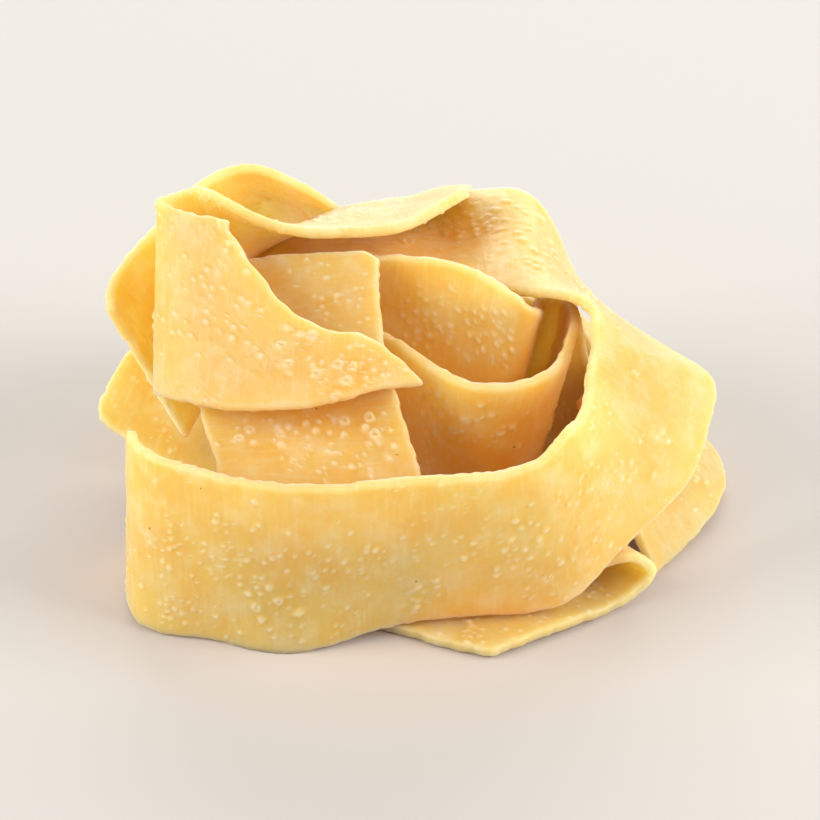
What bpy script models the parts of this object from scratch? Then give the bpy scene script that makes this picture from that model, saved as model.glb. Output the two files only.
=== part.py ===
"""A dry pasta nest: seven flat egg ribbons, each cut from one rolled sheet and wound round the others."""

import bpy
import numpy as np
from mathutils import Matrix

MM = 0.001

# Driving dimensions, in millimetres.
RIBBON_WIDTH = 21.6
RIBBON_THICKNESS = 1.2
STRIPS_ACROSS = 5

# One step along a ribbon turns at most this much, or covers this length where the ribbon runs straight.
STEP_LENGTH = 5.0
STEP_TURN = np.radians(24)
FINE_SAMPLES = 600

PASTA = (0.86, 0.60, 0.22, 1.0)
PASTA_ROUGHNESS = 0.55

# Each route is a list of stations, an upper edge point and the lower edge point across from it.
# X runs right, Y back and Z up from the table.
ROUTES = {
    # Starts at the left, goes round the front, climbs the right side, turns over and roofs the back right.
    "outer_wrap": [
        ((-30.4, -4.0, 21.0), (-31.0, -3.0, 0.6)),
        ((-30.6, -13.0, 21.2), (-31.4, -13.5, 0.5)),
        ((-29.5, -19.8, 21.4), (-30.2, -21.6, 0.3)),
        ((-23.5, -24.6, 21.5), (-23.5, -25.2, 0.1)),
        ((-12.0, -28.6, 21.6), (-12.0, -26.4, 0.1)),
        ((-1.1, -28.9, 22.2), (-1.1, -24.4, 2.1)),
        ((8.0, -28.4, 22.8), (9.0, -23.0, 2.2)),
        ((14.4, -26.4, 23.8), (17.4, -21.2, 3.4)),
        ((17.0, -24.4, 24.8), (21.8, -18.8, 7.5)),
        ((18.8, -21.5, 25.5), (26.4, -13.8, 8.6)),
        ((19.8, -15.8, 27.2), (32.2, -7.6, 12.0)),
        ((20.1, -12.4, 28.0), (34.0, -3.0, 14.8)),
        ((20.3, -10.0, 28.7), (34.9, 1.6, 17.1)),
        ((20.5, -8.0, 29.3), (32.2, 5.6, 17.7)),
        ((20.4, -5.2, 30.0), (26.0, 12.5, 18.4)),
        ((19.5, -3.2, 30.3), (21.9, 15.5, 20.2)),
        ((17.8, -2.0, 30.5), (19.2, 17.8, 22.6)),
        ((15.4, -1.2, 30.5), (17.0, 19.5, 27.2)),
        ((12.5, -0.3, 30.2), (13.6, 20.8, 31.4)),
        ((9.4, 1.2, 29.6), (9.8, 22.0, 30.7)),
        ((4.0, 4.2, 29.2), (4.0, 23.6, 27.2)),
        ((-3.0, 5.8, 29.1), (-3.5, 22.6, 26.8)),
        ((-9.5, 6.8, 28.8), (-10.0, 20.8, 25.4)),
        ((-13.5, 7.0, 28.5), (-14.0, 20.5, 24.4)),
        ((-17.0, 7.4, 27.8), (-17.4, 18.8, 22.2)),
    ],
    # The slanted flap on the front left, a sharp turn, then back over the top.
    "top_flap": [
        ((6.0, 1.0, 38.8), (1.6, -11.8, 26.4)),
        ((-3.0, 0.0, 39.8), (-4.6, -16.4, 26.6)),
        ((-12.6, -1.4, 39.4), (-12.6, -18.5, 25.2)),
        ((-20.3, 0.6, 38.6), (-21.6, -15.4, 24.0)),
        ((-25.8, 3.6, 38.0), (-27.0, -10.8, 23.0)),
        ((-28.0, 6.0, 38.2), (-28.5, -4.4, 20.0)),
        ((-25.9, 7.4, 38.6), (-26.6, 3.6, 17.6)),
        ((-20.6, 6.2, 37.2), (-20.0, 17.2, 24.6)),
        ((-14.0, 3.8, 36.0), (-13.2, 21.0, 27.2)),
        ((-7.0, 3.5, 35.7), (-6.2, 23.4, 28.8)),
        ((-1.2, 5.8, 35.3), (-0.3, 25.6, 28.6)),
        ((3.4, 10.2, 35.5), (4.4, 29.4, 27.9)),
        ((6.6, 13.6, 35.9), (7.4, 32.2, 26.6)),
    ],
    # The loop that stands out at the left, climbs over the back and comes down round the right.
    "back_collar": [
        ((-34.0, 2.6, 26.0), (-26.8, 8.0, 6.6)),
        ((-34.4, 5.4, 27.6), (-24.5, 11.0, 9.0)),
        ((-32.2, 9.5, 29.8), (-22.5, 14.5, 11.0)),
        ((-28.8, 12.6, 32.0), (-21.0, 22.0, 14.0)),
        ((-23.8, 17.8, 35.0), (-19.0, 30.5, 18.5)),
        ((-18.4, 20.0, 35.5), (-16.5, 34.5, 21.4)),
        ((-13.8, 20.6, 33.6), (-12.5, 35.5, 18.5)),
        ((-8.5, 24.8, 28.0), (-7.5, 34.8, 9.5)),
        ((0.0, 28.6, 21.5), (1.5, 33.0, 0.8)),
        ((10.5, 29.0, 20.8), (13.0, 32.0, 0.5)),
        ((17.2, 23.6, 18.8), (25.0, 28.5, 0.7)),
        ((20.8, 16.0, 15.8), (34.0, 20.0, 0.4)),
        ((22.4, 8.0, 15.7), (37.2, 8.0, 0.2)),
        ((21.8, 1.0, 17.0), (33.7, -1.5, 0.5)),
        ((19.4, -5.6, 18.2), (27.6, -12.0, 0.5)),
    ],
    # The short wing at the left that dives under the middle and stands up at the back right.
    "left_wing": [
        ((-28.0, 28.0, 19.4), (-38.1, 15.0, 5.4)),
        ((-23.4, 27.4, 14.0), (-31.6, 10.2, 2.8)),
        ((-17.6, 24.4, 7.4), (-24.4, 2.6, 1.4)),
        ((-9.0, 21.6, 5.0), (-13.0, 0.4, 1.8)),
        ((0.0, 21.6, 6.0), (-1.0, 1.0, 1.5)),
        ((7.5, 20.6, 11.8), (7.2, 3.6, 1.7)),
        ((13.2, 17.4, 18.6), (13.6, 8.6, 1.3)),
        ((17.2, 14.0, 20.0), (18.6, 6.6, 1.0)),
        ((20.0, 10.6, 19.8), (23.0, 4.2, 1.2)),
    ],
    # The folded ribbon flat on the table at the front right.
    "floor_fold": [
        ((-0.8, -36.2, 0.6), (-13.4, -18.7, 0.6)),
        ((9.2, -29.0, 0.6), (-3.4, -11.5, 0.6)),
        ((20.0, -21.8, 0.7), (7.4, -4.3, 0.7)),
        ((24.8, -18.4, 1.0), (12.2, -0.9, 0.9)),
        ((27.4, -16.6, 3.0), (14.6, 0.6, 2.3)),
        ((25.2, -17.6, 5.7), (12.4, -0.7, 3.9)),
        ((21.4, -17.8, 4.9), (9.0, -0.9, 3.2)),
        ((17.8, -17.2, 3.7), (5.6, -0.6, 2.6)),
    ],
    # The strip that runs down the middle, from the back of the hollow to the front wall.
    "centre_strip": [
        ((-3.6, 1.0, 34.6), (-25.0, 3.4, 32.0)),
        ((-3.2, -6.6, 29.6), (-24.4, -5.0, 25.4)),
        ((-1.0, -15.5, 23.8), (-22.6, -14.2, 20.2)),
        ((1.6, -22.6, 18.4), (-20.4, -21.2, 16.6)),
        ((2.4, -24.2, 12.0), (-19.4, -22.4, 11.0)),
        ((2.4, -21.0, 5.6), (-19.4, -19.8, 5.0)),
        ((1.5, -14.0, 3.2), (-19.8, -13.0, 3.0)),
    ],
    # The cup in the middle: its front wall, a hairpin at the right, and its back wall.
    "inner_loop": [
        ((-6.0, -3.0, 27.0), (-5.0, -3.4, 6.2)),
        ((-2.5, -5.2, 26.6), (-2.0, -4.4, 6.0)),
        ((4.5, -12.6, 25.5), (3.5, -8.5, 5.6)),
        ((10.6, -14.6, 25.5), (8.5, -10.5, 5.8)),
        ((15.3, -11.6, 25.6), (11.8, -8.5, 6.0)),
        ((18.0, -4.0, 25.8), (13.4, -3.5, 6.6)),
        ((18.6, 2.6, 25.0), (14.4, 2.5, 6.2)),
        ((17.4, 7.0, 23.4), (13.6, 6.4, 5.6)),
        ((15.0, 6.0, 24.6), (10.8, 2.5, 6.4)),
        ((14.5, 0.0, 27.0), (9.6, -3.0, 7.6)),
        ((13.4, -3.4, 29.6), (8.8, -5.6, 9.4)),
        ((9.0, -1.2, 32.2), (5.6, -4.8, 11.4)),
        ((2.4, 1.0, 33.6), (1.0, -2.6, 12.4)),
        ((-4.0, 2.4, 33.0), (-4.6, -0.4, 11.8)),
        ((-9.0, 2.4, 31.0), (-9.0, 0.0, 10.0)),
    ],
}

# The first end of a ribbon may be cut at a slant: how far the cut eats into the upper edge, in
# millimetres, and how strongly the cut is bowed.
SLANTED_CUTS = {
    "outer_wrap": (14.0, 1.0),
    "top_flap": (26.0, 1.35),
    "floor_fold": (12.0, 1.0),
}


def clear_scene():
    for thing in list(bpy.data.objects):
        bpy.data.objects.remove(thing, do_unlink=True)


def natural_spline(knots, values, at):
    """Smooth curve through values at knots, read at the places in at."""
    knots, values = np.asarray(knots, float), np.asarray(values, float)
    gaps = np.diff(knots)[:, None]
    slopes = np.diff(values, axis=0) / gaps
    count = len(knots)
    system = np.eye(count)
    wanted = np.zeros_like(values)
    for i in range(1, count - 1):
        before, after = gaps[i - 1, 0], gaps[i, 0]
        system[i, i - 1 : i + 2] = (before, 2 * (before + after), after)
        wanted[i] = 6 * (slopes[i] - slopes[i - 1])
    bends = np.linalg.solve(system, wanted)
    span = np.clip(np.searchsorted(knots, at, side="right") - 1, 0, count - 2)
    gap = gaps[span]
    left = (np.asarray(at) - knots[span])[:, None]
    right = gap - left
    return (
        (bends[span] * right**3 + bends[span + 1] * left**3) / (6 * gap)
        + (values[span] / gap - bends[span] * gap / 6) * right
        + (values[span + 1] / gap - bends[span + 1] * gap / 6) * left
    )


class Route:
    """The middle surface of one ribbon: a point for each length along it and place across it."""

    def __init__(self, stations):
        upper, lower = (np.array([s[k] for s in stations], float) for k in (0, 1))
        middle = (upper + lower) / 2
        across = upper - lower
        across /= np.linalg.norm(across, axis=1)[:, None]
        hops = (
            np.linalg.norm(np.diff(upper, axis=0), axis=1)
            + np.linalg.norm(np.diff(lower, axis=0), axis=1)
        ) / 2
        knots = np.concatenate([[0], np.cumsum(hops)])
        fine = np.linspace(0, knots[-1], FINE_SAMPLES)
        self.middle = natural_spline(knots, middle, fine)
        turned = natural_spline(knots, across, fine)
        self.across = turned / np.linalg.norm(turned, axis=1)[:, None]
        run = np.linalg.norm(np.diff(self.middle, axis=0), axis=1)
        self.lengths = np.concatenate([[0], np.cumsum(run)])
        self.length = self.lengths[-1]

    def read(self, track, at):
        return np.stack([np.interp(at, self.lengths, track[:, k]) for k in range(3)], axis=-1)

    def point(self, at, side):
        """side runs from -1 at the lower edge to 1 at the upper edge."""
        return self.read(self.middle, at) + self.read(self.across, at) * side[..., None] * RIBBON_WIDTH / 2

    def steps(self):
        """Lengths along the ribbon, closer together where it bends or twists."""
        tangent = np.gradient(self.middle, axis=0)
        tangent /= np.linalg.norm(tangent, axis=1)[:, None]
        facing = np.cross(tangent, self.across)
        facing /= np.linalg.norm(facing, axis=1)[:, None]
        turn = np.arccos(np.clip((facing[1:] * facing[:-1]).sum(axis=1), -1, 1))
        swing = np.arccos(np.clip((self.across[1:] * self.across[:-1]).sum(axis=1), -1, 1))
        effort = np.diff(self.lengths) / STEP_LENGTH + np.maximum(turn, swing) / STEP_TURN
        spent = np.concatenate([[0], np.cumsum(effort)])
        count = int(np.ceil(spent[-1]))
        return np.interp(np.linspace(0, spent[-1], count + 1), spent, self.lengths)


def ribbon_grid(name):
    """The ribbon's middle surface as rows of points, one row for each step along it."""
    route = Route(ROUTES[name])
    cut, bow = SLANTED_CUTS.get(name, (0.0, 1.0))
    side = np.linspace(-1, 1, STRIPS_ACROSS + 1)
    share = route.steps() / route.length
    # A slanted cut takes length off the upper edge and leaves the lower edge whole.
    start = cut * (1 - ((1 - side) / 2) ** bow)
    at = start + share[:, None] * (route.length - start)
    return route.point(at, np.broadcast_to(side, at.shape))


def pasta_material():
    material = bpy.data.materials.new("dry_egg_pasta")
    material.use_nodes = True
    shader = material.node_tree.nodes["Principled BSDF"]
    shader.inputs["Base Color"].default_value = PASTA
    shader.inputs["Roughness"].default_value = PASTA_ROUGHNESS
    shader.inputs["Metallic"].default_value = 0.0
    return material


def make_ribbon(name, material):
    rows = ribbon_grid(name) * MM
    wide = rows.shape[1]
    faces = [
        (r * wide + c, r * wide + c + 1, (r + 1) * wide + c + 1, (r + 1) * wide + c)
        for r in range(len(rows) - 1)
        for c in range(wide - 1)
    ]
    mesh = bpy.data.meshes.new(name)
    mesh.from_pydata(rows.reshape(-1, 3).tolist(), [], faces)
    mesh.materials.append(material)
    mesh.shade_smooth()
    ribbon = bpy.data.objects.new(name, mesh)
    bpy.context.scene.collection.objects.link(ribbon)
    solid = ribbon.modifiers.new("thickness", "SOLIDIFY")
    solid.thickness = RIBBON_THICKNESS * MM
    solid.offset = 0
    solid.use_even_offset = True
    return ribbon


def stand_on_origin(ribbons):
    """Move the whole nest so that it stands on the ground plane, centred over the origin."""
    seen = bpy.context.evaluated_depsgraph_get()
    corners = np.array([corner for ribbon in ribbons for corner in ribbon.evaluated_get(seen).bound_box])
    low, high = corners.min(axis=0), corners.max(axis=0)
    shift = Matrix.Translation((-(low[0] + high[0]) / 2, -(low[1] + high[1]) / 2, -low[2]))
    for ribbon in ribbons:
        ribbon.data.transform(shift)


def main():
    clear_scene()
    material = pasta_material()
    stand_on_origin([make_ribbon(name, material) for name in ROUTES])


main()
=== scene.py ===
"""Looks of a dry pasta nest: seven flat egg ribbons, rolled, cut, wound round each other and dried."""

import math

import bpy
import numpy as np
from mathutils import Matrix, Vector


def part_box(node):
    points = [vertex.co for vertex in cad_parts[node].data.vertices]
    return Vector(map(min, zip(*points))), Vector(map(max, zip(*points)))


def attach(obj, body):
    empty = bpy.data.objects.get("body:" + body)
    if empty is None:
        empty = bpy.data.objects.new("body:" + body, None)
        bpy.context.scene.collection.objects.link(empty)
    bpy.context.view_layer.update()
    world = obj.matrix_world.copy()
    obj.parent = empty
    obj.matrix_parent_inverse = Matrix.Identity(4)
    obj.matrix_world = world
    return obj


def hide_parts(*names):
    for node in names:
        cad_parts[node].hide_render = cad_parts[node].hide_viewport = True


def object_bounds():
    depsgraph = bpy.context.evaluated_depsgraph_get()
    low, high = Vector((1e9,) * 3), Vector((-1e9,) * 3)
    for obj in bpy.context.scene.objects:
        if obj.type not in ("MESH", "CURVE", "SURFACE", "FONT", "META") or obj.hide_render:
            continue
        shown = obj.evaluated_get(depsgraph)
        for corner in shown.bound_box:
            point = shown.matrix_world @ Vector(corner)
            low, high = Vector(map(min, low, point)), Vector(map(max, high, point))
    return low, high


bl_info = {
    "name": "Dry Pasta Nest",
    "version": (1, 0, 0),
    "blender": (4, 5, 0),
    "location": "View3D > Sidebar > Pasta Nest",
    "description": "Winds seven ribbons of dried egg pasta into a nest and sets a plain stage for it",
    "category": "Add Mesh",
}

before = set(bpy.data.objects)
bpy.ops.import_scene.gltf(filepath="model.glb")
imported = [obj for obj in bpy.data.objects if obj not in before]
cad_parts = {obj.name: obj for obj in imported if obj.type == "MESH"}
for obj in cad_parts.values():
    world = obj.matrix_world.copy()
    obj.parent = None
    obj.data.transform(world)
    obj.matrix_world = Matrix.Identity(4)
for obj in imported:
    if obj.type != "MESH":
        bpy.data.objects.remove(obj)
CAD_LOW, CAD_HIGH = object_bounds()

MM = 0.001
FINE_SAMPLES = 1200

# Cut edges: the depth over which a rim draws together and by how much, how far it bulges out, how far
# nicks, tears and the pale edge (partly a painted highlight on the rim) reach into the ribbon, and how much
# deeper nicks are at the two ends.
RIM_DEPTH = 0.42 * MM
RIM_PINCH = 0.24
RIM_BULGE = 0.14
NICK_REACH = 1.5 * MM
TEAR_REACH = 6 * MM
PALE_HIGHLIT_EDGE_REACH = 1.6 * MM
END_NICKS = 1.6
ON_THE_CUT = 1e-7

# Waves and lumps of the faces: their sizes, how high the quick waves stand beside the slow ones, how
# far in from an edge the waves are higher, and the height of the lumps in millimetres.
SLOW_WAVE = 9 * MM
QUICK_WAVE = 3.2 * MM
QUICK_SHARE = 0.34
WAVY_EDGE = 5 * MM
LUMP_SIZES = (1.0 * MM, 0.55 * MM)
LUMP_HEIGHT = 0.030

# Air blisters: tries at a loose one per square millimetre, the radii of loose ones and the smallest in
# a patch in millimetres, how near they may be, the radius past which they burst, and the radius from
# which they reach their full height.
LOOSE_TRIES = 0.45
LOOSE_RADII = (0.22, 0.42)
PATCH_RADIUS = 0.30
CLOSEST = 0.85
BURST_RADIUS = 0.62 * MM
FULL_RADIUS = 0.6 * MM
RING_PLACE = 0.55
RING_WIDTH = 0.34
PIT_RADIUS = 0.4
PIT_DEPTH = 0.30

# What the camera and the lights are turned to, in millimetres, and the soft lights: place and size in
# metres, and the setting that gives the power.
MIDDLE_OF_NEST = (0.25, -3.2, 15.0)
SOFT_LIGHTS = {
    "left_softbox": ((-0.92, -0.28, 0.50), (0.75, 0.75), "key_power"),
    "back_softbox": ((0.09, 0.98, 0.46), (1.10, 0.60), "back_power"),
    "right_softbox": ((0.92, -0.24, 0.48), (0.75, 0.75), "side_power"),
}
WARM_WHITE = (1.0, 0.97, 0.92)
ROOM_WHITE = (1.0, 0.98, 0.95, 1.0)

# The dough's pattern: noise waves per metre, and the cells that may each hold a speck of bran.
CLOUD_SCALE = 110
FLOUR_SCALE = 260
GRAIN_SCALE = 1700
SHINE_SCALE = 900
PORE_SCALE = 2600
CRUMB_SCALE = 420.0
STREAK_STRETCH = (1.0, 0.11, 1.0)

# Each route is a list of stations, an upper edge point and the lower edge point across from it, in
# millimetres. X runs right, Y back and Z up from the table.
ROUTES = {
    # Starts at the left, goes round the front, climbs the right side, turns over and roofs the back right.
    "outer_wrap": [
        ((-30.4, -4.0, 21.0), (-31.0, -3.0, 0.6)),
        ((-30.6, -13.0, 21.2), (-31.4, -13.5, 0.5)),
        ((-29.5, -19.8, 21.4), (-30.2, -21.6, 0.3)),
        ((-23.5, -24.6, 21.5), (-23.5, -25.2, 0.1)),
        ((-12.0, -28.6, 21.6), (-12.0, -26.4, 0.1)),
        ((-1.1, -28.9, 22.2), (-1.1, -24.4, 2.1)),
        ((8.0, -28.4, 22.8), (9.0, -23.0, 2.2)),
        ((14.4, -26.4, 23.8), (17.4, -21.2, 3.4)),
        ((17.0, -24.4, 24.8), (21.8, -18.8, 7.5)),
        ((18.8, -21.5, 25.5), (26.4, -13.8, 8.6)),
        ((19.8, -15.8, 27.2), (32.2, -7.6, 12.0)),
        ((20.1, -12.4, 28.0), (34.0, -3.0, 14.8)),
        ((20.3, -10.0, 28.7), (34.9, 1.6, 17.1)),
        ((20.5, -8.0, 29.3), (32.2, 5.6, 17.7)),
        ((20.4, -5.2, 30.0), (26.0, 12.5, 18.4)),
        ((19.5, -3.2, 30.3), (21.9, 15.5, 20.2)),
        ((17.8, -2.0, 30.5), (19.2, 17.8, 22.6)),
        ((15.4, -1.2, 30.5), (17.0, 19.5, 27.2)),
        ((12.5, -0.3, 30.2), (13.6, 20.8, 31.4)),
        ((9.4, 1.2, 29.6), (9.8, 22.0, 30.7)),
        ((4.0, 4.2, 29.2), (4.0, 23.6, 27.2)),
        ((-3.0, 5.8, 29.1), (-3.5, 22.6, 26.8)),
        ((-9.5, 6.8, 28.8), (-10.0, 20.8, 25.4)),
        ((-13.5, 7.0, 28.5), (-14.0, 20.5, 24.4)),
        ((-17.0, 7.4, 27.8), (-17.4, 18.8, 22.2)),
    ],
    # The slanted flap on the front left, a sharp turn, then back over the top.
    "top_flap": [
        ((6.0, 1.0, 38.8), (1.6, -11.8, 26.4)),
        ((-3.0, 0.0, 39.8), (-4.6, -16.4, 26.6)),
        ((-12.6, -1.4, 39.4), (-12.6, -18.5, 25.2)),
        ((-20.3, 0.6, 38.6), (-21.6, -15.4, 24.0)),
        ((-25.8, 3.6, 38.0), (-27.0, -10.8, 23.0)),
        ((-28.0, 6.0, 38.2), (-28.5, -4.4, 20.0)),
        ((-25.9, 7.4, 38.6), (-26.6, 3.6, 17.6)),
        ((-20.6, 6.2, 37.2), (-20.0, 17.2, 24.6)),
        ((-14.0, 3.8, 36.0), (-13.2, 21.0, 27.2)),
        ((-7.0, 3.5, 35.7), (-6.2, 23.4, 28.8)),
        ((-1.2, 5.8, 35.3), (-0.3, 25.6, 28.6)),
        ((3.4, 10.2, 35.5), (4.4, 29.4, 27.9)),
        ((6.6, 13.6, 35.9), (7.4, 32.2, 26.6)),
    ],
    # The loop that stands out at the left, climbs over the back and comes down round the right.
    "back_collar": [
        ((-34.0, 2.6, 26.0), (-26.8, 8.0, 6.6)),
        ((-34.4, 5.4, 27.6), (-24.5, 11.0, 9.0)),
        ((-32.2, 9.5, 29.8), (-22.5, 14.5, 11.0)),
        ((-28.8, 12.6, 32.0), (-21.0, 22.0, 14.0)),
        ((-23.8, 17.8, 35.0), (-19.0, 30.5, 18.5)),
        ((-18.4, 20.0, 35.5), (-16.5, 34.5, 21.4)),
        ((-13.8, 20.6, 33.6), (-12.5, 35.5, 18.5)),
        ((-8.5, 24.8, 28.0), (-7.5, 34.8, 9.5)),
        ((0.0, 28.6, 21.5), (1.5, 33.0, 0.8)),
        ((10.5, 29.0, 20.8), (13.0, 32.0, 0.5)),
        ((17.2, 23.6, 18.8), (25.0, 28.5, 0.7)),
        ((20.8, 16.0, 15.8), (34.0, 20.0, 0.4)),
        ((22.4, 8.0, 15.7), (37.2, 8.0, 0.2)),
        ((21.8, 1.0, 17.0), (33.7, -1.5, 0.5)),
        ((19.4, -5.6, 18.2), (27.6, -12.0, 0.5)),
    ],
    # The short wing at the left that dives under the middle and stands up at the back right.
    "left_wing": [
        ((-28.0, 28.0, 19.4), (-38.1, 15.0, 5.4)),
        ((-23.4, 27.4, 14.0), (-31.6, 10.2, 2.8)),
        ((-17.6, 24.4, 7.4), (-24.4, 2.6, 1.4)),
        ((-9.0, 21.6, 5.0), (-13.0, 0.4, 1.8)),
        ((0.0, 21.6, 6.0), (-1.0, 1.0, 1.5)),
        ((7.5, 20.6, 11.8), (7.2, 3.6, 1.7)),
        ((13.2, 17.4, 18.6), (13.6, 8.6, 1.3)),
        ((17.2, 14.0, 20.0), (18.6, 6.6, 1.0)),
        ((20.0, 10.6, 19.8), (23.0, 4.2, 1.2)),
    ],
    # The folded ribbon flat on the table at the front right.
    "floor_fold": [
        ((-0.8, -36.2, 0.6), (-13.4, -18.7, 0.6)),
        ((9.2, -29.0, 0.6), (-3.4, -11.5, 0.6)),
        ((20.0, -21.8, 0.7), (7.4, -4.3, 0.7)),
        ((24.8, -18.4, 1.0), (12.2, -0.9, 0.9)),
        ((27.4, -16.6, 3.0), (14.6, 0.6, 2.3)),
        ((25.2, -17.6, 5.7), (12.4, -0.7, 3.9)),
        ((21.4, -17.8, 4.9), (9.0, -0.9, 3.2)),
        ((17.8, -17.2, 3.7), (5.6, -0.6, 2.6)),
    ],
    # The strip that runs down the middle, from the back of the hollow to the front wall.
    "centre_strip": [
        ((-3.6, 1.0, 34.6), (-25.0, 3.4, 32.0)),
        ((-3.2, -6.6, 29.6), (-24.4, -5.0, 25.4)),
        ((-1.0, -15.5, 23.8), (-22.6, -14.2, 20.2)),
        ((1.6, -22.6, 18.4), (-20.4, -21.2, 16.6)),
        ((2.4, -24.2, 12.0), (-19.4, -22.4, 11.0)),
        ((2.4, -21.0, 5.6), (-19.4, -19.8, 5.0)),
        ((1.5, -14.0, 3.2), (-19.8, -13.0, 3.0)),
    ],
    # The cup in the middle: its front wall, a hairpin at the right, and its back wall.
    "inner_loop": [
        ((-6.0, -3.0, 27.0), (-5.0, -3.4, 6.2)),
        ((-2.5, -5.2, 26.6), (-2.0, -4.4, 6.0)),
        ((4.5, -12.6, 25.5), (3.5, -8.5, 5.6)),
        ((10.6, -14.6, 25.5), (8.5, -10.5, 5.8)),
        ((15.3, -11.6, 25.6), (11.8, -8.5, 6.0)),
        ((18.0, -4.0, 25.8), (13.4, -3.5, 6.6)),
        ((18.6, 2.6, 25.0), (14.4, 2.5, 6.2)),
        ((17.4, 7.0, 23.4), (13.6, 6.4, 5.6)),
        ((15.0, 6.0, 24.6), (10.8, 2.5, 6.4)),
        ((14.5, 0.0, 27.0), (9.6, -3.0, 7.6)),
        ((13.4, -3.4, 29.6), (8.8, -5.6, 9.4)),
        ((9.0, -1.2, 32.2), (5.6, -4.8, 11.4)),
        ((2.4, 1.0, 33.6), (1.0, -2.6, 12.4)),
        ((-4.0, 2.4, 33.0), (-4.6, -0.4, 11.8)),
        ((-9.0, 2.4, 31.0), (-9.0, 0.0, 10.0)),
    ],
}

# The first end of a ribbon may be cut at a slant: how far the cut eats into the upper edge, in
# millimetres, and how strongly the cut is bowed.
SLANTED_CUTS = {
    "outer_wrap": (14.0, 1.0),
    "top_flap": (26.0, 1.35),
    "floor_fold": (12.0, 1.0),
}

# Where air blistered the dough while it dried: the face of the sheet (1 or -1), the place along and
# across the ribbon, how far the patch spreads both ways, in millimetres, the number of blisters and the
# radius of the largest, in millimetres.
BLISTER_PATCHES = {
    "outer_wrap": [
        (1, 23.0, 1.0, 6.0, 7.0, 34, 0.42),
        (1, 24.0, -7.5, 7.0, 3.0, 46, 0.45),
        (1, 33.0, 1.5, 7.0, 5.0, 44, 0.55),
        (1, 35.0, -4.5, 5.0, 3.0, 30, 0.60),
        (1, 43.0, 0.0, 6.0, 6.0, 36, 0.50),
        (1, 49.5, -7.0, 3.0, 2.5, 16, 0.70),
        (1, 52.0, 0.0, 6.0, 7.0, 28, 0.50),
        (1, 60.0, -2.0, 6.0, 7.0, 36, 0.55),
        (1, 68.0, 3.0, 7.0, 6.0, 26, 0.45),
        (1, 78.0, 0.0, 7.0, 8.0, 24, 0.42),
        (1, 112.0, 1.0, 5.0, 5.0, 26, 0.50),
        (1, 119.0, -4.0, 6.0, 5.0, 40, 0.50),
        (1, 127.0, -5.0, 5.0, 4.0, 22, 0.50),
    ],
    "top_flap": [
        (-1, 17.0, -5.0, 5.0, 3.0, 44, 0.85),
        (-1, 12.5, -7.0, 4.0, 2.5, 34, 0.80),
        (-1, 7.0, -9.0, 3.0, 1.6, 16, 0.60),
        (-1, 22.5, 0.5, 4.0, 5.0, 24, 0.55),
        (-1, 28.0, 2.0, 4.0, 7.0, 26, 0.50),
        (-1, 64.0, -2.0, 8.0, 5.0, 30, 0.45),
    ],
    "centre_strip": [
        (1, 22.5, 0.5, 3.0, 8.0, 40, 0.65),
        (1, 23.0, 7.0, 2.0, 2.0, 14, 0.85),
        (1, 26.5, 3.0, 2.5, 6.0, 24, 0.45),
        (1, 5.0, 6.0, 5.0, 4.0, 30, 0.42),
    ],
    "inner_loop": [
        (1, 12.0, 6.0, 4.0, 3.0, 26, 0.60),
        (1, 17.0, 4.5, 4.0, 4.0, 26, 0.60),
        (1, 10.0, 1.0, 3.0, 3.0, 14, 0.45),
        (-1, 58.0, 5.0, 4.0, 4.0, 44, 0.45),
        (-1, 65.0, 4.0, 4.0, 4.0, 26, 0.42),
        (1, 60.0, 0.0, 8.0, 6.0, 40, 0.45),
    ],
    "floor_fold": [
        (-1, 14.0, 4.0, 6.0, 6.0, 30, 0.50),
        (-1, 26.0, 7.0, 5.0, 4.0, 22, 0.50),
    ],
    "back_collar": [
        (-1, 104.0, -6.0, 5.0, 5.0, 14, 0.45),
        (-1, 70.0, 0.0, 16.0, 8.0, 90, 0.50),
        (1, 27.0, 3.0, 6.0, 5.0, 12, 0.40),
    ],
    "left_wing": [
        (1, 4.0, -4.0, 4.0, 6.0, 16, 0.40),
        (-1, 52.0, 3.0, 6.0, 6.0, 34, 0.45),
    ],
}

# Where a sheet bellies out while it dries: the place along and across, how far it spreads both ways
# and how far it stands out along the face, in millimetres.
SWELLS = {
    "outer_wrap": [
        (36.0, -11.5, 6.0, 5.0, 1.1),
        (27.0, -9.0, 4.0, 5.0, -0.7),
        (66.0, -9.5, 5.0, 4.0, 0.7),
        (121.5, -9.0, 4.0, 5.0, 1.7),
        (145.5, -9.5, 5.0, 6.0, 2.2),
    ],
    "back_collar": [(104.0, -9.0, 5.0, 4.0, -0.6)],
    "centre_strip": [(22.0, 9.0, 5.0, 4.0, 0.4)],
}

# Where a cut end tore instead of following the blade: places across the ribbon and how far the tear
# eats into its length there, in millimetres.
TEARS = {
    "top_flap": [
        (-10.8, -0.7), (-9.0, -0.9), (-6.0, -1.1), (-3.4, -0.9), (-3.0, 0.4), (-1.6, 0.9), (0.6, 0.9),
        (3.2, 0.4), (8.0, 0.0), (10.8, 0.4),
    ],
    "left_wing": [(-10.8, 0.9), (-9.0, 0.1), (-4.0, -0.3), (1.0, 0.5), (2.0, -0.4), (10.8, 0.3)],
    "centre_strip": [(-10.8, 0.0), (6.0, -0.2), (9.0, 0.1), (10.8, 1.4)],
}


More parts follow.
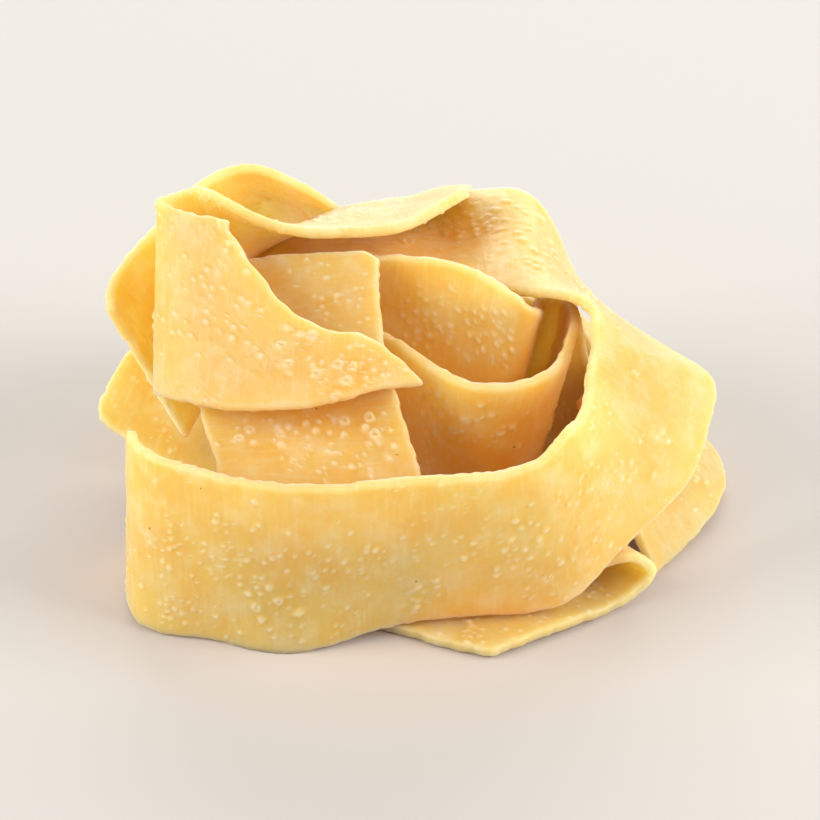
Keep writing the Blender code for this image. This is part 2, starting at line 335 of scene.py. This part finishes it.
class NestSizes(bpy.types.PropertyGroup):
    """Sizes of the rolled and cut dough"""

    width: bpy.props.FloatProperty(
        name="Ribbon width", description="Width that the sheet was cut to", default=21.6 * MM, unit="LENGTH")
    thickness: bpy.props.FloatProperty(
        name="Thickness", description="Thickness of the dried sheet", default=1.2 * MM, unit="LENGTH")
    cell: bpy.props.FloatProperty(
        name="Mesh cell", description="Side of one face of the fine mesh", default=0.28 * MM, unit="LENGTH")
    ripple: bpy.props.FloatProperty(
        name="Ripple", description="Height of the slow waves left by drying", default=0.11 * MM,
        unit="LENGTH")
    nick: bpy.props.FloatProperty(
        name="Edge nicks", description="Depth of the small nicks along the cut edges", default=0.2 * MM,
        unit="LENGTH")
    blister: bpy.props.FloatProperty(
        name="Blister height", description="Height of a large air blister", default=0.42 * MM, unit="LENGTH")
    seed: bpy.props.IntProperty(name="Seed", description="Start of the random draws", default=7)


class NestColours(bpy.types.PropertyGroup):
    """Colours of the dried dough"""

    deep: bpy.props.FloatVectorProperty(
        name="Deep dough", description="Dense, more glassy dough", default=(0.97, 0.46, 0.092), size=3,
        subtype="COLOR")
    dough: bpy.props.FloatVectorProperty(
        name="Dough", description="The usual colour of the sheet", default=(0.98, 0.522, 0.125), size=3,
        subtype="COLOR")
    # Pale dough is also painted on the cut edges, partly as a painted highlight on the rim.
    pale: bpy.props.FloatVectorProperty(
        name="Pale dough", description="Floury dough and cut edges", default=(0.985, 0.67, 0.35), size=3,
        subtype="COLOR")
    blister: bpy.props.FloatVectorProperty(
        name="Blister", description="Thin skin over an air blister", default=(0.99, 0.71, 0.42), size=3,
        subtype="COLOR")
    speck: bpy.props.FloatVectorProperty(
        name="Speck", description="Specks of bran", default=(0.26, 0.10, 0.02), size=3, subtype="COLOR")
    floor: bpy.props.FloatVectorProperty(
        name="Floor", description="The plain floor", default=(0.60, 0.59, 0.57), size=3, subtype="COLOR")


class StageSettings(bpy.types.PropertyGroup):
    """Camera and lights"""

    elevation: bpy.props.FloatProperty(
        name="Camera elevation", description="Height of the camera above the horizon",
        default=math.radians(30), unit="ROTATION")
    distance: bpy.props.FloatProperty(
        name="Camera distance", description="Distance from the nest", default=400 * MM, unit="LENGTH")
    field: bpy.props.FloatProperty(
        name="Field", description="Width that the picture takes in", default=94.3 * MM, unit="LENGTH")
    key_power: bpy.props.FloatProperty(
        name="Key light", description="Power of the left soft light", default=9.9, unit="POWER")
    side_power: bpy.props.FloatProperty(
        name="Side light", description="Power of the right soft light", default=11.0, unit="POWER")
    fill: bpy.props.FloatProperty(
        name="Fill", description="Strength of the even light of the room", default=0.45)
    back_power: bpy.props.FloatProperty(
        name="Back light", description="Power of the soft light that glows through the dough", default=8.4,
        unit="POWER")


def natural_spline(knots, values, at):
    """Smooth curve through values at knots, read at the places in at."""
    knots, values = np.asarray(knots, float), np.asarray(values, float)
    gaps = np.diff(knots)[:, None]
    slopes = np.diff(values, axis=0) / gaps
    count = len(knots)
    system = np.eye(count)
    wanted = np.zeros_like(values)
    for i in range(1, count - 1):
        before, after = gaps[i - 1, 0], gaps[i, 0]
        system[i, i - 1 : i + 2] = (before, 2 * (before + after), after)
        wanted[i] = 6 * (slopes[i] - slopes[i - 1])
    bends = np.linalg.solve(system, wanted)
    span = np.clip(np.searchsorted(knots, at, side="right") - 1, 0, count - 2)
    gap = gaps[span]
    left = (np.asarray(at) - knots[span])[:, None]
    right = gap - left
    return (
        (bends[span] * right**3 + bends[span + 1] * left**3) / (6 * gap)
        + (values[span] / gap - bends[span] * gap / 6) * right
        + (values[span + 1] / gap - bends[span + 1] * gap / 6) * left
    )


class Route:
    """The middle surface of one ribbon, in metres: a point for each length along and place across."""

    def __init__(self, stations):
        upper, lower = (np.array([s[k] for s in stations], float) * MM for k in (0, 1))
        across = upper - lower
        across /= np.linalg.norm(across, axis=1)[:, None]
        hops = (
            np.linalg.norm(np.diff(upper, axis=0), axis=1)
            + np.linalg.norm(np.diff(lower, axis=0), axis=1)
        ) / 2
        knots = np.concatenate([[0], np.cumsum(hops)])
        fine = np.linspace(0, knots[-1], FINE_SAMPLES)
        self.middle = natural_spline(knots, (upper + lower) / 2, fine)
        turned = natural_spline(knots, across, fine)
        self.across = turned / np.linalg.norm(turned, axis=1)[:, None]
        run = np.linalg.norm(np.diff(self.middle, axis=0), axis=1)
        self.lengths = np.concatenate([[0], np.cumsum(run)])
        self.length = self.lengths[-1]
        self.heading = np.gradient(self.middle, self.lengths, axis=0)
        self.twist = np.gradient(self.across, self.lengths, axis=0)

    def read(self, track, at):
        return np.stack([np.interp(at, self.lengths, track[:, k]) for k in range(3)], axis=-1)

    def point(self, at, reach):
        """reach is the distance from the centre line towards the upper edge."""
        return self.read(self.middle, at) + self.read(self.across, at) * reach[..., None]

    def facing(self, at, reach):
        """Unit normal of the sheet, out of its first face."""
        forward = self.read(self.heading, at) + self.read(self.twist, at) * reach[..., None]
        normal = np.cross(forward, self.read(self.across, at))
        return normal / np.linalg.norm(normal, axis=-1)[..., None]


def nest_shift():
    """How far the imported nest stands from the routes, the median over its seven ribbons."""
    gaps = []
    for name, stations in ROUTES.items():
        route = Route(stations)
        start = SLANTED_CUTS.get(name, (0.0, 1.0))[0] * MM
        half = bpy.context.scene.nest_sizes.width / 2
        whole = np.linspace(0, route.length, FINE_SAMPLES)
        edges = [route.point(whole, np.full(FINE_SAMPLES, -half))]
        edges.append(route.point(whole[whole > start], np.full((whole > start).sum(), half)))
        edges = np.concatenate(edges)
        low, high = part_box(name)
        gaps.append((np.array(low) + np.array(high) - edges.min(axis=0) - edges.max(axis=0)) / 2)
    return np.median(gaps, axis=0)


def soft_noise(along, across, size, seed):
    """Smooth random waves from -1 to 1, about size from one crest to the next lattice point."""
    columns, rows = (int(np.ptp(v) / size) + 3 for v in (along, across))
    lattice = np.random.default_rng(seed).uniform(-1, 1, (columns, rows))
    x, y = (along - along.min()) / size, (across - across.min()) / size
    i, j = x.astype(int), y.astype(int)
    fx, fy = x - i, y - j
    fx, fy = fx * fx * (3 - 2 * fx), fy * fy * (3 - 2 * fy)
    near = lattice[i, j] * (1 - fx) + lattice[i + 1, j] * fx
    far = lattice[i, j + 1] * (1 - fx) + lattice[i + 1, j + 1] * fx
    return near * (1 - fy) + far * fy


def only(piece):
    """Select one object and make it the active one."""
    bpy.ops.object.select_all(action="DESELECT")
    piece.select_set(True)
    bpy.context.view_layer.objects.active = piece


def rolled_strip(name, length, sizes):
    """A flat strip of dough along X, with its thickness, finely divided on its faces and its rim."""
    rows = round(length / sizes.cell)
    columns = round(sizes.width / sizes.cell)
    bpy.ops.object.select_all(action="DESELECT")
    bpy.ops.mesh.primitive_grid_add(x_subdivisions=rows, y_subdivisions=columns, size=1, calc_uvs=True)
    strip = bpy.context.active_object
    strip.name = strip.data.name = name
    strip.scale = (length, sizes.width, 1)
    bpy.ops.object.transform_apply(location=False, rotation=False, scale=True)
    solid = strip.modifiers.new("thickness", "SOLIDIFY")
    solid.thickness = sizes.thickness
    solid.offset = 0
    bpy.ops.object.modifier_apply(modifier=solid.name)
    bpy.ops.object.mode_set(mode="EDIT")
    bpy.ops.mesh.select_mode(type="EDGE")
    bpy.ops.mesh.select_all(action="DESELECT")
    bpy.ops.object.mode_set(mode="OBJECT")
    mesh = strip.data
    ends = np.zeros(len(mesh.edges) * 2, int)
    mesh.edges.foreach_get("vertices", ends)
    height = read_points(mesh)[:, 2][ends.reshape(-1, 2)]
    upright = np.abs(height[:, 0] - height[:, 1]) > sizes.thickness / 2
    mesh.edges.foreach_set("select", upright)
    bpy.ops.object.mode_set(mode="EDIT")
    bpy.ops.mesh.subdivide(number_cuts=2)
    bpy.ops.object.mode_set(mode="OBJECT")
    return strip


def read_points(mesh):
    points = np.zeros(len(mesh.vertices) * 3, np.float32)
    mesh.vertices.foreach_get("co", points)
    return points.reshape(-1, 3).astype(float)


def write_points(mesh, points):
    mesh.vertices.foreach_set("co", points.astype(np.float32).ravel())
    mesh.update()


def write_share(mesh, name, values):
    layer = mesh.attributes.new(name, "FLOAT", "POINT")
    layer.data.foreach_set("value", values.astype(np.float32))


def blisters(name, route, along, across, face, sizes):
    """Height of the air blisters at each point, and how blistered it looks, from 0 to 1."""
    draw = np.random.default_rng([sizes.seed, len(name), len(ROUTES[name])])
    spots = []
    for side in (1, -1):
        # Loose blisters gather where two noises are high together.
        tries = int(route.length * sizes.width / MM**2 * LOOSE_TRIES)
        a = draw.uniform(0, route.length, tries)
        b = draw.uniform(-sizes.width / 2, sizes.width / 2, tries)
        crowd = soft_noise(a, b, 7 * MM, sizes.seed + 40 + side)
        crowd = crowd + soft_noise(a, b, 2.6 * MM, sizes.seed + 50 + side)
        for x, y in zip(a[crowd > 0.5], b[crowd > 0.5]):
            spots.append((side, x, y, draw.uniform(*LOOSE_RADII) * MM))
    for side, x, y, spread_x, spread_y, count, largest in BLISTER_PATCHES.get(name, []):
        for _ in range(count):
            place = draw.normal((x, y), (spread_x / 2, spread_y / 2)) * MM
            radius = (PATCH_RADIUS + (largest - 0.26) * draw.uniform() ** 1.5) * MM
            # Blisters sit side by side, and one that would run into another is left out.
            apart = [
                math.hypot(place[0] - other[1], place[1] - other[2]) > CLOSEST * (radius + other[3])
                for other in spots
                if other[0] == side
            ]
            if all(apart):
                spots.append((side, place[0], place[1], radius))
    rise = np.zeros(len(along))
    looks = np.zeros(len(along))
    wobble = soft_noise(along, across, 0.55 * MM, sizes.seed + 5)
    for side, x, y, radius in spots:
        near = (face == side) & (np.abs(along - x) < radius * 1.3) & (np.abs(across - y) < radius * 1.3)
        if not near.any():
            continue
        off = np.hypot(along[near] - x, across[near] - y) / radius * (1 + 0.22 * wobble[near])
        dome = np.clip(1 - off**2, 0, 1) ** 1.1
        if radius > BURST_RADIUS:
            # A large blister has burst and left a ring with a pit in it.
            pit = np.clip(1 - (off / PIT_RADIUS) ** 2, 0, 1)
            dome = np.exp(-(((off - RING_PLACE) / RING_WIDTH) ** 2)) - PIT_DEPTH * pit
        height = sizes.blister * min(1.0, radius / FULL_RADIUS)
        rise[near] = np.where(np.abs(dome * height) > np.abs(rise[near]), dome * height, rise[near])
        looks[near] = np.maximum(looks[near], np.clip(dome, 0, 1))
    return rise, looks


def wind_ribbon(context, name):
    """Roll a strip, cut its ends and nick its edges, wind it along its route, and give it its surface."""
    sizes = context.scene.nest_sizes
    route = Route(ROUTES[name])
    half = sizes.width / 2
    strip = rolled_strip("pasta_" + name, route.length, sizes)
    mesh = strip.data
    flat = read_points(mesh)
    share = flat[:, 0] / route.length + 0.5
    reach = flat[:, 1]
    through = flat[:, 2]
    face = np.sign(through)
    seed = sizes.seed + 100 * list(ROUTES).index(name)

    cut, bow = SLANTED_CUTS.get(name, (0.0, 1.0))
    start = cut * MM * (1 - ((1 - reach / half) / 2).clip(0) ** bow)
    along = start + share * (route.length - start)
    tear = np.interp(reach / MM, *np.array(TEARS.get(name, [(0, 0)]), float).T) * MM
    along = along + tear * np.clip(1 - (along - start) / TEAR_REACH, 0, 1)
    start = start + tear

    # Distance to the nearest cut, square to the long edges and nearly so at the two ends.
    lean = math.cos(math.atan2(cut * MM, sizes.width))
    side_gap = half - np.abs(reach)
    first_gap = (along - start) * lean
    last_gap = route.length - along
    gap = np.minimum(side_gap, np.minimum(first_gap, last_gap))

    # Nicks move the edge in its own plane and fade out a little way in.
    edge = np.sign(reach)
    bite = soft_noise(along, edge, 0.7 * MM, seed + 1) * 0.6
    bite = bite + soft_noise(along, edge, 3.5 * MM, seed + 2) * 0.9
    reach = reach + edge * bite * sizes.nick * np.clip(1 - side_gap / NICK_REACH, 0, 1)
    end_bite = soft_noise(reach, along * 0, 1.1 * MM, seed + 3)
    end_bite = end_bite + soft_noise(reach, along * 0, 3.0 * MM, seed + 4)
    along = along - end_bite * sizes.nick * END_NICKS * np.clip(1 - first_gap / NICK_REACH, 0, 1)
    along = along + end_bite * sizes.nick * END_NICKS * np.clip(1 - last_gap / NICK_REACH, 0, 1)

    # The rim is blunt and round: the faces draw together over the last half millimetre.
    close = np.clip(1 - gap / RIM_DEPTH, 0, 1)
    through = through * (1 - RIM_PINCH * close**2)
    bulge = np.clip(1 - (through / (sizes.thickness / 2)) ** 2, 0, 1) * (gap < ON_THE_CUT)
    reach = reach + edge * RIM_BULGE * MM * bulge * (side_gap < ON_THE_CUT)

    # Drying leaves slow waves, highest along the edges, quick ones, and small lumps on each face.
    wave = soft_noise(along, reach, SLOW_WAVE, seed + 11)
    wave = wave * (0.7 + 0.9 * np.clip(1 - gap / WAVY_EDGE, 0, 1))
    wave = wave + soft_noise(along, reach, QUICK_WAVE, seed + 12) * QUICK_SHARE
    lump = soft_noise(along, reach + face, LUMP_SIZES[0], seed + 13) * LUMP_HEIGHT * MM
    lump = lump + soft_noise(along, reach + face, LUMP_SIZES[1], seed + 14) * LUMP_HEIGHT * MM
    rise, looks = blisters(name, route, along, reach, face, sizes)
    for x, y, spread_x, spread_y, height in SWELLS.get(name, []):
        hill = ((along - x * MM) / (spread_x * MM)) ** 2 + ((reach - y * MM) / (spread_y * MM)) ** 2
        wave = wave + np.exp(-hill) * height * MM / sizes.ripple
    lift = through + wave * sizes.ripple + face * (lump + rise * np.clip(gap / (0.4 * MM), 0, 1))

    points = route.point(along, reach) + route.facing(along, reach) * lift[:, None] + nest_shift()
    points[:, 2] = np.maximum(points[:, 2], CAD_LOW[2])
    write_points(mesh, points)
    # The rim share makes the cut edges rougher and paints them paler: partly the paler cut dough, partly a
    # painted highlight on the rim.
    write_share(mesh, "rim", np.clip(1 - gap / PALE_HIGHLIT_EDGE_REACH, 0, 1))
    write_share(mesh, "blister", looks)
    lay_uv(mesh, along, reach + face * sizes.width)
    only(strip)
    bpy.ops.object.mode_set(mode="EDIT")
    bpy.ops.mesh.select_all(action="SELECT")
    bpy.ops.mesh.normals_make_consistent(inside=False)
    bpy.ops.object.mode_set(mode="OBJECT")
    bpy.ops.object.shade_smooth()
    mesh.materials.clear()
    mesh.materials.append(pasta_material(context.scene.nest_colours))
    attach(strip, "root")
    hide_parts(name)
    return strip


def lay_uv(mesh, along, across):
    """UV in metres of dough, the second face beside the first."""
    corners = np.zeros(len(mesh.loops), int)
    mesh.loops.foreach_get("vertex_index", corners)
    layer = mesh.uv_layers.active or mesh.uv_layers.new(name="dough")
    layer.name = "dough"
    places = np.stack([along[corners], across[corners]], axis=1)
    layer.data.foreach_set("uv", places.astype(np.float32).ravel())


class Wire:
    """A socket of a material that takes part in sums."""

    def __init__(self, bench, socket):
        self.bench, self.socket = bench, socket

    def __add__(self, other):
        return self.bench.sum("ADD", self, other)

    __radd__ = __add__

    def __sub__(self, other):
        return self.bench.sum("SUBTRACT", self, other)

    def __rsub__(self, other):
        return self.bench.sum("SUBTRACT", other, self)

    def __mul__(self, other):
        return self.bench.sum("MULTIPLY", self, other)

    __rmul__ = __mul__

    def __gt__(self, other):
        return self.bench.sum("GREATER_THAN", self, other)

    def between(self, low, high):
        """0 at low and below, 1 at high and above."""
        return self.bench.node(
            "ShaderNodeMapRange", {"interpolation_type": "SMOOTHSTEP"},
            {"Value": self, "From Min": low, "From Max": high})


class Bench:
    """A material's node tree, with one way to add a node."""

    def __init__(self, name):
        self.material = bpy.data.materials.new(name)
        self.material.use_nodes = True
        self.tree = self.material.node_tree
        self.tree.nodes.clear()

    def node(self, kind, settings, inputs, out=0):
        node = self.tree.nodes.new(kind)
        for key, value in settings.items():
            setattr(node, key, value)
        for key, value in inputs.items():
            if isinstance(value, Wire):
                self.tree.links.new(value.socket, node.inputs[key])
            else:
                node.inputs[key].default_value = value
        return Wire(self, node.outputs[out]) if node.outputs else None

    def sum(self, operation, first, second):
        return self.node("ShaderNodeMath", {"operation": operation}, {0: first, 1: second})

    def blend(self, share, first, second):
        """Colour from first to second as share goes from 0 to 1."""
        return self.node("ShaderNodeMix", {"data_type": "RGBA"}, {0: share, 6: first, 7: second}, 2)

    def noise(self, where, scale, detail=3.0, roughness=0.5):
        return self.node(
            "ShaderNodeTexNoise", {},
            {"Vector": where, "Scale": scale, "Detail": detail, "Roughness": roughness})


def pasta_material(colours):
    """Dried egg dough: glassy amber inside, floury and paler outside, cut edges painted paler (partly the
    paler cut dough, partly a painted highlight where the rim catches the light), bran specks.
    """
    name = "egg_pasta"
    if name in bpy.data.materials:
        return bpy.data.materials[name]
    bench = Bench(name)
    dough = bench.node("ShaderNodeUVMap", {"uv_map": "dough"}, {})
    place = bench.node("ShaderNodeTexCoord", {}, {}, 3)
    rim = bench.node("ShaderNodeAttribute", {"attribute_name": "rim"}, {}, 2)
    blister = bench.node("ShaderNodeAttribute", {"attribute_name": "blister"}, {}, 2)
    streaked = bench.node("ShaderNodeMapping", {}, {"Vector": dough, "Scale": STREAK_STRETCH})

    deep, usual, pale, skin, bran = (
        (*c, 1.0) for c in (colours.deep, colours.dough, colours.pale, colours.blister, colours.speck))
    clouds = bench.noise(dough, CLOUD_SCALE, 3.0).between(0.34, 0.66)
    flour = bench.noise(place, FLOUR_SCALE, 4.0, 0.6).between(0.40, 0.72)
    grain = bench.noise(streaked, GRAIN_SCALE, 3.0, 0.6)
    colour = bench.blend(clouds, deep, usual)
    colour = bench.blend(flour * 0.50 + grain.between(0.48, 0.72) * 0.24, colour, pale)
    # Painted highlight, in part: the cut edges are painted paler where the rim would catch the light,
    # besides the paler cut dough itself.
    colour = bench.blend(rim.between(0.45, 1.0) * 0.32, colour, pale)
    colour = bench.blend(blister.between(0.05, 0.9) * 0.55, colour, skin)
    crumbs = bench.node("ShaderNodeTexVoronoi", {}, {"Vector": dough, "Scale": CRUMB_SCALE}, 0)
    chance = bench.node(
        "ShaderNodeTexWhiteNoise", {"noise_dimensions": "3D"},
        {"Vector": bench.node("ShaderNodeTexVoronoi", {}, {"Vector": dough, "Scale": CRUMB_SCALE}, 2)})
    speck = (1 - crumbs.between(0.03, 0.07)) * (chance > 0.93)
    colour = bench.blend(speck * 0.85, colour, bran)

    rough = bench.noise(place, SHINE_SCALE, 2.0) * 0.16 + 0.36 + rim * 0.08
    height = grain * 0.45 + bench.noise(place, PORE_SCALE, 3.0, 0.6) * 0.6 + flour * 0.25
    bump = bench.node(
        "ShaderNodeBump", {}, {"Strength": 0.55, "Distance": 0.12 * MM, "Height": height})
    shader = bench.node(
        "ShaderNodeBsdfPrincipled", {},
        {
            "Base Color": colour,
            "Roughness": rough,
            "IOR": 1.48,
            "Sheen Weight": 0.22,
            "Sheen Roughness": 0.45,
            "Subsurface Weight": 1.0,
            "Subsurface Radius": (1.0, 1.0, 0.6),
            "Subsurface Scale": 6.0 * MM,
            "Normal": bump,
        })
    bench.node("ShaderNodeOutputMaterial", {}, {"Surface": shader})
    return bench.material


def plain_material(name, colour, roughness):
    bench = Bench(name)
    shader = bench.node(
        "ShaderNodeBsdfPrincipled", {}, {"Base Color": (*colour, 1.0), "Roughness": roughness})
    bench.node("ShaderNodeOutputMaterial", {}, {"Surface": shader})
    return bench.material


def soft_light(name, place, target, size, power):
    light = bpy.data.lights.new(name, "AREA")
    light.shape = "RECTANGLE"
    light.size, light.size_y = size
    light.energy = power
    light.color = WARM_WHITE
    lamp = bpy.data.objects.new(name, light)
    lamp.location = place
    lamp.rotation_euler = (target - place).to_track_quat("-Z", "Y").to_euler()
    bpy.context.scene.collection.objects.link(lamp)


class NEST_OT_outer_wrap(bpy.types.Operator):
    """Wind the ribbon that goes round the front, climbs the right side and roofs the back right"""

    bl_idname = "nest.outer_wrap"
    bl_label = "Outer wrap"

    def execute(self, context):
        wind_ribbon(context, "outer_wrap")
        return {"FINISHED"}


class NEST_OT_top_flap(bpy.types.Operator):
    """Wind the slanted flap on the front left and its run back over the top"""

    bl_idname = "nest.top_flap"
    bl_label = "Top flap"

    def execute(self, context):
        wind_ribbon(context, "top_flap")
        return {"FINISHED"}


class NEST_OT_back_collar(bpy.types.Operator):
    """Wind the loop at the left that climbs over the back and comes down round the right"""

    bl_idname = "nest.back_collar"
    bl_label = "Back collar"

    def execute(self, context):
        wind_ribbon(context, "back_collar")
        return {"FINISHED"}


class NEST_OT_left_wing(bpy.types.Operator):
    """Wind the wing at the left that dives under the middle and stands up at the back right"""

    bl_idname = "nest.left_wing"
    bl_label = "Left wing"

    def execute(self, context):
        wind_ribbon(context, "left_wing")
        return {"FINISHED"}


class NEST_OT_floor_fold(bpy.types.Operator):
    """Wind the folded ribbon that lies flat on the table at the front right"""

    bl_idname = "nest.floor_fold"
    bl_label = "Floor fold"

    def execute(self, context):
        wind_ribbon(context, "floor_fold")
        return {"FINISHED"}


class NEST_OT_centre_strip(bpy.types.Operator):
    """Wind the strip that runs down the middle to the front wall"""

    bl_idname = "nest.centre_strip"
    bl_label = "Centre strip"

    def execute(self, context):
        wind_ribbon(context, "centre_strip")
        return {"FINISHED"}


class NEST_OT_inner_loop(bpy.types.Operator):
    """Wind the cup in the middle, with its hairpin at the right"""

    bl_idname = "nest.inner_loop"
    bl_label = "Inner loop"

    def execute(self, context):
        wind_ribbon(context, "inner_loop")
        return {"FINISHED"}


class NEST_OT_stage(bpy.types.Operator):
    """Set the floor, the soft lights and the camera"""

    bl_idname = "nest.stage"
    bl_label = "Stage"

    def execute(self, context):
        stage = context.scene.nest_stage
        colours = context.scene.nest_colours
        bpy.ops.object.select_all(action="DESELECT")
        bpy.ops.mesh.primitive_plane_add(size=6.0, location=(0, 0, CAD_LOW[2]))
        floor = context.active_object
        floor.name = "floor"
        bpy.ops.object.transform_apply(location=True, rotation=False, scale=False)
        floor.data.materials.append(plain_material("plain_floor", colours.floor, 0.9))

        middle = Vector(MIDDLE_OF_NEST) * MM
        for name, (place, size, power) in SOFT_LIGHTS.items():
            soft_light(name, Vector(place), middle, size, getattr(stage, power))

        world = context.scene.world or bpy.data.worlds.new("room")
        context.scene.world = world
        world.use_nodes = True
        background = world.node_tree.nodes["Background"]
        background.inputs["Color"].default_value = ROOM_WHITE
        background.inputs["Strength"].default_value = stage.fill

        eye = bpy.data.cameras.new("camera")
        eye.sensor_width = 36.0
        eye.lens = eye.sensor_width * stage.distance / stage.field
        eye.clip_start, eye.clip_end = 0.01, 20.0
        camera = bpy.data.objects.new("camera", eye)
        back = Vector((0, -math.cos(stage.elevation), math.sin(stage.elevation)))
        camera.location = middle + back * stage.distance
        camera.rotation_euler = (-back).to_track_quat("-Z", "Y").to_euler()
        context.scene.collection.objects.link(camera)
        context.scene.camera = camera
        context.scene.view_settings.view_transform = "Standard"
        return {"FINISHED"}


class NEST_PT_panel(bpy.types.Panel):
    """The nest's sizes, colours and pieces"""

    bl_label = "Dry Pasta Nest"
    bl_idname = "NEST_PT_panel"
    bl_space_type = "VIEW_3D"
    bl_region_type = "UI"
    bl_category = "Pasta Nest"

    def draw(self, context):
        for group in (context.scene.nest_sizes, context.scene.nest_colours, context.scene.nest_stage):
            box = self.layout.box()
            for key in group.bl_rna.properties.keys():
                if key not in ("rna_type", "name"):
                    box.prop(group, key)
        for maker in MAKERS:
            self.layout.operator(maker.bl_idname)


MAKERS = (
    NEST_OT_outer_wrap,
    NEST_OT_top_flap,
    NEST_OT_back_collar,
    NEST_OT_left_wing,
    NEST_OT_floor_fold,
    NEST_OT_centre_strip,
    NEST_OT_inner_loop,
    NEST_OT_stage,
)
CLASSES = (NestSizes, NestColours, StageSettings, *MAKERS, NEST_PT_panel)


def register():
    for thing in CLASSES:
        bpy.utils.register_class(thing)
    bpy.types.Scene.nest_sizes = bpy.props.PointerProperty(type=NestSizes)
    bpy.types.Scene.nest_colours = bpy.props.PointerProperty(type=NestColours)
    bpy.types.Scene.nest_stage = bpy.props.PointerProperty(type=StageSettings)


def unregister():
    del bpy.types.Scene.nest_sizes
    del bpy.types.Scene.nest_colours
    del bpy.types.Scene.nest_stage
    for thing in reversed(CLASSES):
        bpy.utils.unregister_class(thing)


def main():
    register()
    for maker in MAKERS:
        getattr(bpy.ops.nest, maker.bl_idname.split(".")[1])()


if __name__ == "__main__":
    main()
